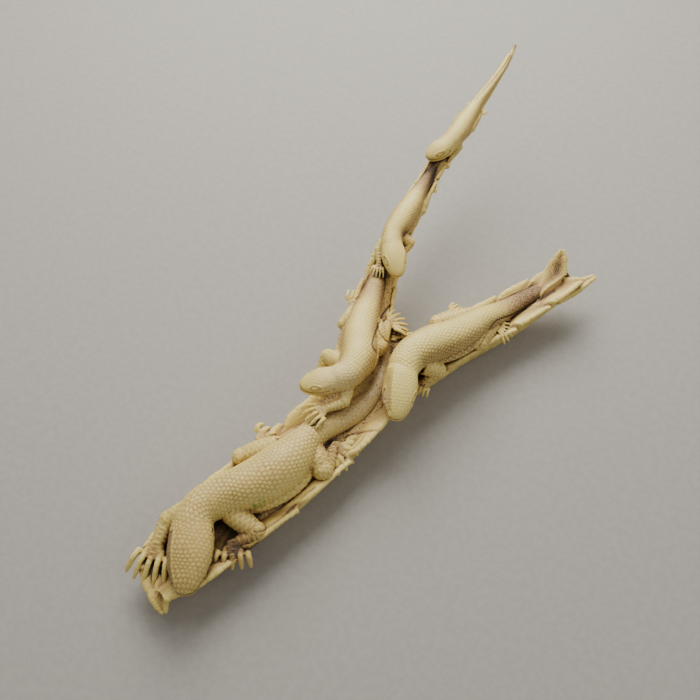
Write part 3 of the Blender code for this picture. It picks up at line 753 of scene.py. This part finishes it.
def flatten_cheek(edge, rosy, wide, share, side, rise, on_head, skin):
    """Cuts the left cheek down to a plane from an edge on the crown to the side of the head."""
    shares, widths, heights = np.array(SKULL).T[:3]
    width, height = np.interp(share, shares, widths), np.interp(share, shares, heights)
    out, up = -side / width, rise / height
    edge_up = (1 - edge**HEAD_SQUARE) ** (1 / HEAD_SQUARE)
    way = np.array([edge_up, 1 - edge]) / math.hypot(edge_up, 1 - edge)
    proud = (out - edge) * way[0] + (up - edge_up) * way[1]
    ends = smooth_step(share, 0.02, 0.12) * smooth_step(share, 0.98, 0.62) * on_head * (up > -0.3)
    cheek = smooth_step(out, edge - 0.03, edge + 0.05) * ends
    ridge = hump(out - edge, 0.06) * ends
    skin.lift -= np.clip(proud, 0, 0.4) * cheek * width * wide * 0.9
    skin.lift += 0.03 * wide * ridge
    skin.brown += 0.18 * cheek * smooth_step(out, edge, edge + 0.3) - 0.08 * ridge
    skin.rosy += rosy * cheek
    skin.scaly *= 1 - 0.8 * cheek
    skin.net *= 1 - 0.6 * cheek


def ease_nape(mesh, name, kinds):
    """Evens out the step where the head runs into the body."""
    places = corners(mesh)[0]
    snout, line, _, _, wide = head_frame(name)
    gap = np.linalg.norm(places - np.array(snout + line * 0.98), axis=1) / wide
    share = smooth_step(gap, 1.7, 1.1) * np.isin(kinds, ["head", "jaw", "body"])
    pairs, met = neighbours(mesh)
    places += (averaged(places, pairs, met, 45) - places) * share[:, None]
    mesh.vertices.foreach_set("co", places.ravel())
    mesh.update()


def leaf_relief(places, at):
    """Long soft flutes that run together at each leaf's tip, and a light edge with small nicks."""
    skin = Skin(len(places))
    across = at["side"] / np.maximum(at["half"], 0.5)
    wave = 0.1 * np.sin(at["s"] * 0.45) + 0.1 * ripple(places, 7, 21)
    flute = -np.cos(math.pi * 1.05 * (across + wave))
    edge = smooth_step(np.abs(across), 0.7, 0.95)
    notch = np.abs((at["s"] / 3.4 + 0.25 * ripple(places, 9, 22)) % 1 - 0.5)
    nick = hump(notch, 0.07) * edge
    strand = np.cos(2 * math.pi * 4.2 * (across + 0.7 * wave))
    lined = smooth_step(ripple(places, 16, 23), -0.3, 0.7)
    skin.lift += 0.34 * flute + 0.08 * strand * lined + 0.16 * edge - 0.34 * nick
    skin.brown += 0.12 + 0.22 * smooth_step(-flute, 0.0, 0.9) - 0.18 * edge + 0.1 * nick
    skin.net += 0.16 * smooth_step(-strand, 0.2, 0.9) * lined * (1 - edge)
    return skin


def antler_relief(places, normals):
    """Rows of small pits on the hollowed ground, and shallow furrows along the underside."""
    skin = Skin(len(places))
    upward = smooth_step(normals[:, 2], 0.15, 0.6)
    slant = places @ np.array([0.97, 0.24, 0.0])
    along = places @ np.array([-0.24, 0.97, 0.0])
    wander = ripple(places, 7, 11)
    pits = beads(along + 0.3 * wander, slant + 0.3 * wander, 1.15, 1.0)
    patch = smooth_step(ripple(places, 14, 12), -0.9, 0.2)
    furrow = np.sin(slant * 2.1 + 1.4 * ripple(places * [1, 0.25, 1], 9, 13))
    skin.lift += -0.2 * pits * upward * patch - 0.1 * (1 - upward) * np.clip(furrow, 0, 1)
    skin.lift += 0.18 * ripple(places, 5, 14) * upward
    skin.brown += 0.28 * upward + 0.14 * pits * upward * patch + (0.1 + 0.05 * furrow) * (1 - upward)
    skin.rosy += 0.55 * upward * smooth_step(ripple(places, 22, 15), -0.6, 0.6)
    skin.pitted += upward
    return skin


def work_in(places, normals, skin):
    """The cut lines and the deeper, browner places, which run over several pieces."""
    towards = np.array(outward(CAMERA_AZIMUTH, CAMERA_ELEVATION))
    facing = normals @ towards > 0
    seen = places - np.outer(places @ towards, towards)
    for (depth, width), points in CUTS:
        curve = through(points, 70)
        curve = curve - np.outer(curve @ towards, towards)
        near = ((seen > curve.min(axis=0) - 2) & (seen < curve.max(axis=0) + 2)).all(axis=1) & facing
        gap = np.full(near.sum(), np.inf)
        for point in curve:
            gap = np.minimum(gap, ((seen[near] - point) ** 2).sum(axis=1))
        line = np.exp(-gap / width**2)
        skin.lift[near] -= depth * line
        skin.brown[near] += 0.34 * line
    for spot, radius, dent, brown, pitted in PATCHES:
        share = np.exp(-(((places - spot) ** 2).sum(axis=1) / radius**2))
        skin.lift -= dent * share
        skin.brown += brown * share
        skin.pitted += pitted * share


def look_around(tree, places, normals):
    """For each corner, how free its sky is within a few millimetres, and how walls crowd it."""
    cell, reach, near, rays = 0.5 * UNIT, 9 * UNIT, 1.5 * UNIT, 30
    keys = np.floor(places / cell).astype(np.int64)
    keys -= keys.min(axis=0)
    span = keys.max(axis=0) + 1
    flat = (keys[:, 0] * span[1] + keys[:, 1]) * span[2] + keys[:, 2]
    cells, inverse, counts = np.unique(flat, return_inverse=True, return_counts=True)
    middle = np.stack([np.bincount(inverse, places[:, k], len(cells)) / counts for k in range(3)], axis=1)
    facing = np.stack([np.bincount(inverse, normals[:, k], len(cells)) for k in range(3)], axis=1)
    facing /= np.linalg.norm(facing, axis=1, keepdims=True) + 1e-9
    turn = np.arange(rays) * math.pi * (3 - math.sqrt(5))
    spread = np.sqrt((np.arange(rays) + 0.5) / rays)
    fan = np.stack([spread * np.cos(turn), spread * np.sin(turn), np.sqrt(1 - spread**2)], axis=1)
    free, crowded = np.empty(len(cells)), np.empty(len(cells))
    for i in range(len(cells)):
        n = Vector(facing[i])
        a = n.orthogonal().normalized()
        b = n.cross(a)
        start = Vector(middle[i]) + n * 0.35 * UNIT
        sky, walls = 0.0, 0
        for x, y, z in fan:
            gap = tree.ray_cast(start, a * x + b * y + n * z, reach)[3]
            sky += 1.0 if gap is None else 0.8 * (gap / reach) ** 1.5
            walls += gap is not None and gap < near
        free[i] = sky / rays
        crowded[i] = walls / rays
    return free[inverse], crowded[inverse]


def settle_patina_and_shade(pieces):
    """Writes on each piece how open its corners are, with all the pieces in place, for the patina and the
    painted shade in its hollows.
    """
    meshes = [piece.data for piece in pieces]
    whole = bmesh.new()
    for mesh in meshes:
        whole.from_mesh(mesh)
    tree = BVHTree.FromBMesh(whole)
    whole.free()
    for mesh in meshes:
        free, crowded = look_around(tree, *corners(mesh))
        pairs, met = neighbours(mesh)
        write(mesh, "sky", averaged(free, pairs, met, 4))
        write(mesh, "walls", averaged(crowded, pairs, met, 2))


def write(mesh, title, values):
    layer = mesh.attributes.new(title, "FLOAT", "POINT")
    layer.data.foreach_set("value", np.asarray(values, np.float32))


def finish_piece(mesh, name, places, normals, skin):
    """Moves the corners by their relief, and writes what the material reads."""
    work_in(places, normals, skin)
    pairs, met = neighbours(mesh)
    carved = places + normals * skin.lift[:, None]
    carved[:, 2] = np.maximum(carved[:, 2], 0)
    level = averaged(carved, pairs, met, 14)
    stands = ((carved - level) * normals).sum(axis=1)
    mesh.vertices.foreach_set("co", (carved * UNIT).ravel())
    mesh.update()
    mesh.polygons.foreach_set("use_smooth", np.ones(len(mesh.polygons), bool))
    write(mesh, "stands", stands)
    write(mesh, "brown", averaged(skin.brown, pairs, met, 2) + skin.net)
    write(mesh, "scaly", skin.scaly)
    write(mesh, "rosy", averaged(skin.rosy, pairs, met, 2))
    write(mesh, "pitted", averaged(skin.pitted, pairs, met, 2))
    mesh.materials.clear()
    mesh.materials.append(antler_finish())
    mesh.name = name
    piece = bpy.data.objects.new(name, mesh)
    bpy.context.scene.collection.objects.link(piece)
    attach(piece, "root")
    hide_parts(NODE)
    return piece


def carve_lizard(context, name):
    grain, pitch, height = FINISH[name][:3]
    sizes = context.scene.antler_sizes
    block = lizard(name)
    mesh = block.skin(grain * sizes.grain_share, 6)
    at = nearest_form(corners(mesh)[0], block.forms)
    kinds = np.array([f["kind"] for f in block.forms])[at["owner"]]
    ease_nape(mesh, name, kinds)
    places, normals = corners(mesh)
    scales = pitch * sizes.scale_pitch_share, height * sizes.scale_height_share
    finish_piece(mesh, f"{name}_lizard", places, normals, lizard_relief(name, places, at, kinds, *scales))


def carve_ground(name):
    """The antler under the lizards: the beam with its tine, or the branch."""
    block = Block()
    block.sweep("antler", limbs()[name], 48, square=2.2)
    if name == "beam":
        for rows in WEBS:
            block.sweep("antler", through(rows, 14), 24)
    mesh = block.skin(GROUND_GRAINS[name], 5)
    places, normals = corners(mesh)
    finish_piece(mesh, f"antler_{name}", places, normals, antler_relief(places, normals))


def carve_leaves(context):
    block = leaves(context.scene.antler_sizes.leaf_thickness / UNIT)
    mesh = block.skin(LEAF_GRAIN, 4)
    places, normals = corners(mesh)
    relief = leaf_relief(places, nearest_form(places, block.forms))
    finish_piece(mesh, "rim_leaves", places, normals, relief)


class Nodes:
    """A new material, and short ways to add and join its nodes."""

    def __init__(self, title):
        self.made = bpy.data.materials.new(title)
        self.made.use_nodes = True
        self.tree = self.made.node_tree
        self.spot = self.add("ShaderNodeTexCoord").outputs["Object"]

    def add(self, kind, settings=(), **inputs):
        node = self.tree.nodes.new(kind)
        for name, value in dict(settings).items():
            setattr(node, name, value)
        self.join(node, inputs)
        return node

    def join(self, node, inputs):
        """Fills inputs by their names, or by number where the name is i and a number."""
        for name, value in inputs.items():
            key = int(name[1:]) if name[1:].isdigit() else name.replace("_", " ")
            self.put(node.inputs[key], value)

    def put(self, socket, value):
        if isinstance(value, bpy.types.NodeSocket):
            self.tree.links.new(value, socket)
        else:
            socket.default_value = value

    def math(self, operation, first, second):
        return self.add("ShaderNodeMath", {"operation": operation}, i0=first, i1=second).outputs[0]

    def times(self, first, second):
        return self.math("MULTIPLY", first, second)

    def mix(self, share, first, second):
        node = self.add("ShaderNodeMix", {"data_type": "RGBA"}, Factor=share, i6=first, i7=second)
        return node.outputs[2]

    def reach(self, value, low, high, first=0.0, last=1.0):
        ends = {"Value": value, "From Min": low, "From Max": high, "To Min": first, "To Max": last}
        node = self.add("ShaderNodeMapRange", {"interpolation_type": "SMOOTHSTEP"}, **ends)
        return node.outputs["Result"]

    # Reads one of the corners' attributes, among them the openness and relief that the painted shade
    # follows.
    def worn(self, name):
        return self.add("ShaderNodeAttribute", {"attribute_name": name}).outputs["Fac"]

    def noise(self, where, scale, detail=4.0, roughness=0.55):
        return self.add(
            "ShaderNodeTexNoise", Vector=where, Scale=scale, Detail=detail, Roughness=roughness
        ).outputs["Fac"]

    def near(self, place, radius):
        """1 at a place on the object and 0 beyond a radius from it."""
        gap = self.add("ShaderNodeVectorMath", {"operation": "DISTANCE"}, i0=self.spot, i1=place)
        return self.reach(gap.outputs["Value"], radius, radius * 0.35)

    def finish(self, bump, height, **inputs):
        """Bumps the surface by a height, sets the shader's other inputs, and gives the material."""
        shader = self.tree.nodes["Principled BSDF"]
        inputs["Normal"] = self.add("ShaderNodeBump", Height=height, **bump).outputs["Normal"]
        self.join(shader, inputs)
        return self.made


# Stains, each a place in metres and a radius: the green one on the great lizard's flank, the brown
# tip of the tine, and the small lizards' shoulders where the polish shows pinkish.
GREEN_STAIN = ((0.0077, 0.0131, 0.0194), 0.0034)
BROWN_TIP = ((-0.002, 0.2195, 0.0464), 0.004)
BLUSHES = [((0.008, 0.061, 0.029), 0.01), ((0.024, 0.066, 0.02), 0.006)]


def antler_finish():
    """Old polished antler: cream backs, tan and brown recesses of patina and painted shade, and pores."""
    if "carved antler" in bpy.data.materials:
        return bpy.data.materials["carved antler"]
    colours = bpy.context.scene.antler_colours
    n = Nodes("carved antler")
    blotch = n.noise(n.spot, 90.0)
    fleck = n.noise(n.spot, 900.0, 3.0)
    drawn = n.add("ShaderNodeMapping", Vector=n.spot, Scale=(1.0, 0.12, 1.0))
    fibre = n.noise(drawn.outputs["Vector"], 1500.0, 2.0)
    pore = n.add("ShaderNodeTexVoronoi", Vector=n.spot, Scale=1100.0).outputs["Distance"]
    pore = n.times(n.times(n.reach(pore, 0.38, 0.12), n.worn("pitted")), n.reach(blotch, 0.14, 0.4))
    # Closed sky, crowding walls and dips in the relief brown the colour: patina and painted shade.
    closed = n.math("SUBTRACT", 1.0, n.worn("sky"))
    layers = (
        (n.reach(closed, 0.2, 0.84), 0.68),
        (n.reach(n.worn("walls"), 0.22, 0.74), 0.42),
        (n.reach(n.worn("stands"), 0.01, -0.16), 0.3),
        (n.worn("brown"), 1.0),
        (pore, 0.6),
        (n.math("SUBTRACT", blotch, 0.5), 0.3),
        (n.math("SUBTRACT", fleck, 0.5), 0.14),
        (n.reach(n.worn("stands"), 0.0, 0.12), -0.16),
    )
    patina_and_shade = 0.02
    for layer, share in layers:
        patina_and_shade = n.math("ADD", n.times(layer, share), patina_and_shade)
    patina_and_shade = n.math("MAXIMUM", n.math("MINIMUM", patina_and_shade, 1.0), 0.0)
    ramp = n.add("ShaderNodeValToRGB", Fac=patina_and_shade)
    stops = ramp.color_ramp.elements
    stops[0].position, stops[0].color = 0.0, (*colours.cream, 1)
    stops[1].position, stops[1].color = 1.0, (*colours.deep, 1)
    for place, colour in ((0.22, colours.honey), (0.5, colours.tan), (0.78, colours.brown)):
        stop = stops.new(place)
        stop.color = (*colour, 1)
    # Polish and the rosy tint show where the patina and painted shade are light.
    unshaded_clean, half_unshaded_clean = n.reach(patina_and_shade, 0.75, 0.15), n.reach(patina_and_shade, 0.9, 0.3)
    coats = [
        # The worn coat on the scale tops is polish with a painted highlight.
        (n.times(n.worn("scaly"), unshaded_clean), 0.5, colours.worn),
        (n.times(n.worn("rosy"), half_unshaded_clean), 0.55, colours.mauve),
        *((n.near(*blush), 0.3, colours.blush) for blush in BLUSHES),
        (n.times(n.near(*GREEN_STAIN), n.reach(fleck, 0.4, 0.6)), 0.9, colours.green),
        (n.near(*BROWN_TIP), 0.8, colours.brown),
    ]
    paint = ramp.outputs["Color"]
    for where, share, colour in coats:
        paint = n.mix(n.times(where, share), paint, (*colour, 1))
    height = n.math("SUBTRACT", n.math("ADD", n.times(fibre, 0.5), n.times(fleck, 0.7)), pore)
    return n.finish(
        {"Strength": 0.4, "Distance": 0.0002},
        height,
        Base_Color=paint,
        Roughness=n.reach(patina_and_shade, 0.0, 0.8, 0.4, 0.66),
        Subsurface_Weight=0.1,
        Subsurface_Radius=(1.0, 0.6, 0.3),
        Subsurface_Scale=0.0007,
        Specular_IOR_Level=0.45,
    )


def share(name, description, **limits):
    description += ", as a share of the carved one"
    limits.update(default=1.0, subtype="FACTOR")
    return bpy.props.FloatProperty(name=name, description=description, **limits)


class AntlerSizes(bpy.types.PropertyGroup):
    """Sizes of the carving that a user may change."""

    leaf_thickness: bpy.props.FloatProperty(
        name="Leaf Thickness",
        description="Of the leaves along the rims",
        default=0.0022,
        unit="LENGTH",
        precision=4,
    )
    grain_share: share("Grain", "Coarseness of the lizards' skin", min=0.9)
    scale_pitch_share: share("Scale Spacing", "Spacing of the lizards' scales")
    scale_height_share: share("Scale Height", "Height of the lizards' scales")


def colour(name, description, value):
    return bpy.props.FloatVectorProperty(
        name=name, description=description, default=value, size=3, min=0, max=1, subtype="COLOR"
    )


class AntlerColours(bpy.types.PropertyGroup):
    """Colours of the antler's patina and painted shade, of its stains and of the ground it lies on."""

    cream: colour("Cream", "Polished backs", (0.86, 0.675, 0.185))
    # Polish on the scale tops, with a painted highlight there.
    worn: colour("Worn", "Polished tops of the scales", (0.95, 0.81, 0.28))
    # Honey, tan, brown and deep run from the polished backs into the recesses: patina, with painted shade on
    # the flanks, the legs and in the hollows.
    honey: colour("Honey", "Flanks and edges", (0.67, 0.485, 0.125))
    tan: colour("Tan", "Legs and leaf grooves", (0.46, 0.275, 0.078))
    brown: colour("Brown", "Recesses", (0.2, 0.11, 0.042))
    deep: colour("Deep", "Deepest recesses", (0.055, 0.034, 0.018))
    mauve: colour("Mauve", "Pitted tails and cheeks", (0.42, 0.285, 0.165))
    blush: colour("Blush", "Pinkish polish on the shoulders", (0.76, 0.52, 0.34))
    green: colour("Green", "Stain on the great lizard's flank", (0.12, 0.33, 0.07))
    table: colour("Table", "The sheet that the carving lies on", (0.415, 0.39, 0.347))


class ANTLER_OT_ground(bpy.types.Operator):
    """Carves the antler that the lizards lie on: beam, tine and branch"""

    bl_idname = "antler.ground"
    bl_label = "Antler"

    def execute(self, context):
        for name in ("beam", "branch"):
            carve_ground(name)
        return {"FINISHED"}


class ANTLER_OT_leaves(bpy.types.Operator):
    """Carves the leaves along the rims"""

    bl_idname = "antler.leaves"
    bl_label = "Rim Leaves"

    def execute(self, context):
        carve_leaves(context)
        return {"FINISHED"}


class ANTLER_OT_lizards(bpy.types.Operator):
    """Carves the five lizards, on the beam, at the fork, on the branch and on the tine"""

    bl_idname = "antler.lizards"
    bl_label = "Lizards"

    def execute(self, context):
        for name in LIZARDS:
            carve_lizard(context, name)
        return {"FINISHED"}


class ANTLER_OT_patina_and_shade(bpy.types.Operator):
    """Settles the brown of the patina and the painted shade into the recesses between all the pieces"""

    bl_idname = "antler.patina"
    bl_label = "Patina"

    def execute(self, context):
        settle_patina_and_shade([o for o in context.scene.objects if o.type == "MESH" and "stands" in o.data.attributes])
        return {"FINISHED"}


def aim(thing, azimuth, elevation, distance):
    """Places a lamp or the camera round the target, turned to face it."""
    target = Vector(CAMERA_TARGET)
    thing.location = target + outward(azimuth, elevation) * distance
    thing.rotation_euler = (target - thing.location).to_track_quat("-Z", "Y").to_euler()
    bpy.context.scene.collection.objects.link(thing)


def table_finish(colours):
    """A pale matt sheet with a faint tooth."""
    n = Nodes("pale sheet")
    tooth = n.noise(n.spot, 400.0, 6.0, 0.7)
    pale = (*colours.table, 1)
    darker = tuple(c * 0.93 for c in pale[:3]) + (1,)
    paint = n.mix(n.reach(tooth, 0.4, 0.6), darker, pale)
    bump = {"Strength": 0.12, "Distance": 0.0003}
    return n.finish(bump, tooth, Base_Color=paint, Roughness=0.85, Specular_IOR_Level=0.25)


LIGHTS = [
    # name, azimuth, elevation, distance, size, power, colour
    ("window", 208.0, 44.0, 0.46, 0.36, 3.0, (1.0, 0.99, 0.97)),
    ("ceiling", 258.0, 62.0, 0.66, 0.46, 1.15, (1.0, 0.99, 0.97)),
    ("lamp", 105.0, 48.0, 0.8, 0.5, 0.95, (1.0, 0.98, 0.95)),
]
ROOM_LIGHT = 0.27


class ANTLER_OT_studio(bpy.types.Operator):
    """Adds the pale ground, the soft lights and the camera"""

    bl_idname = "antler.studio"
    bl_label = "Studio"

    def execute(self, context):
        scene = context.scene
        ground = bmesh.new()
        bmesh.ops.create_grid(ground, x_segments=2, y_segments=2, size=2.5)
        mesh = bpy.data.meshes.new("ground_sheet")
        ground.to_mesh(mesh)
        ground.free()
        mesh.materials.append(table_finish(scene.antler_colours))
        sheet = bpy.data.objects.new("ground_sheet", mesh)
        scene.collection.objects.link(sheet)

        for name, azimuth, elevation, distance, size, power, tint in LIGHTS:
            lamp = bpy.data.lights.new(name, "AREA")
            lamp.shape = "DISK"
            lamp.size = size
            lamp.energy = power
            lamp.color = tint
            aim(bpy.data.objects.new(name, lamp), azimuth, elevation, distance)

        world = bpy.data.worlds.new("studio")
        world.use_nodes = True
        sky = world.node_tree.nodes["Background"].inputs
        sky["Color"].default_value = (1, 1, 1, 1)
        sky["Strength"].default_value = ROOM_LIGHT
        scene.world = world

        camera = bpy.data.cameras.new("camera")
        camera.lens = CAMERA_LENS
        camera.sensor_width = 36.0
        camera.clip_start = 0.01
        camera.clip_end = 10.0
        scene.camera = bpy.data.objects.new("camera", camera)
        aim(scene.camera, CAMERA_AZIMUTH, CAMERA_ELEVATION, CAMERA_DISTANCE)
        return {"FINISHED"}


OPERATORS = (ANTLER_OT_studio, ANTLER_OT_ground, ANTLER_OT_leaves, ANTLER_OT_lizards, ANTLER_OT_patina_and_shade)


class ANTLER_PT_panel(bpy.types.Panel):
    """Lists the sizes, the colours and what can be carved"""

    bl_label = "Carved Antler"
    bl_space_type = "VIEW_3D"
    bl_region_type = "UI"
    bl_category = "Antler"

    def draw(self, context):
        for group in (context.scene.antler_sizes, context.scene.antler_colours):
            for name in group.__annotations__:
                self.layout.prop(group, name)
        for operator in OPERATORS:
            self.layout.operator(operator.bl_idname)


CLASSES = (AntlerSizes, AntlerColours, *OPERATORS, ANTLER_PT_panel)


def register():
    for made in CLASSES:
        bpy.utils.register_class(made)
    bpy.types.Scene.antler_sizes = bpy.props.PointerProperty(type=AntlerSizes)
    bpy.types.Scene.antler_colours = bpy.props.PointerProperty(type=AntlerColours)


def unregister():
    del bpy.types.Scene.antler_colours
    del bpy.types.Scene.antler_sizes
    for made in reversed(CLASSES):
        bpy.utils.unregister_class(made)


def main():
    register()
    bpy.ops.antler.studio()
    bpy.ops.antler.ground()
    bpy.ops.antler.leaves()
    bpy.ops.antler.lizards()
    bpy.ops.antler.patina()


if __name__ == "__main__":
    main()
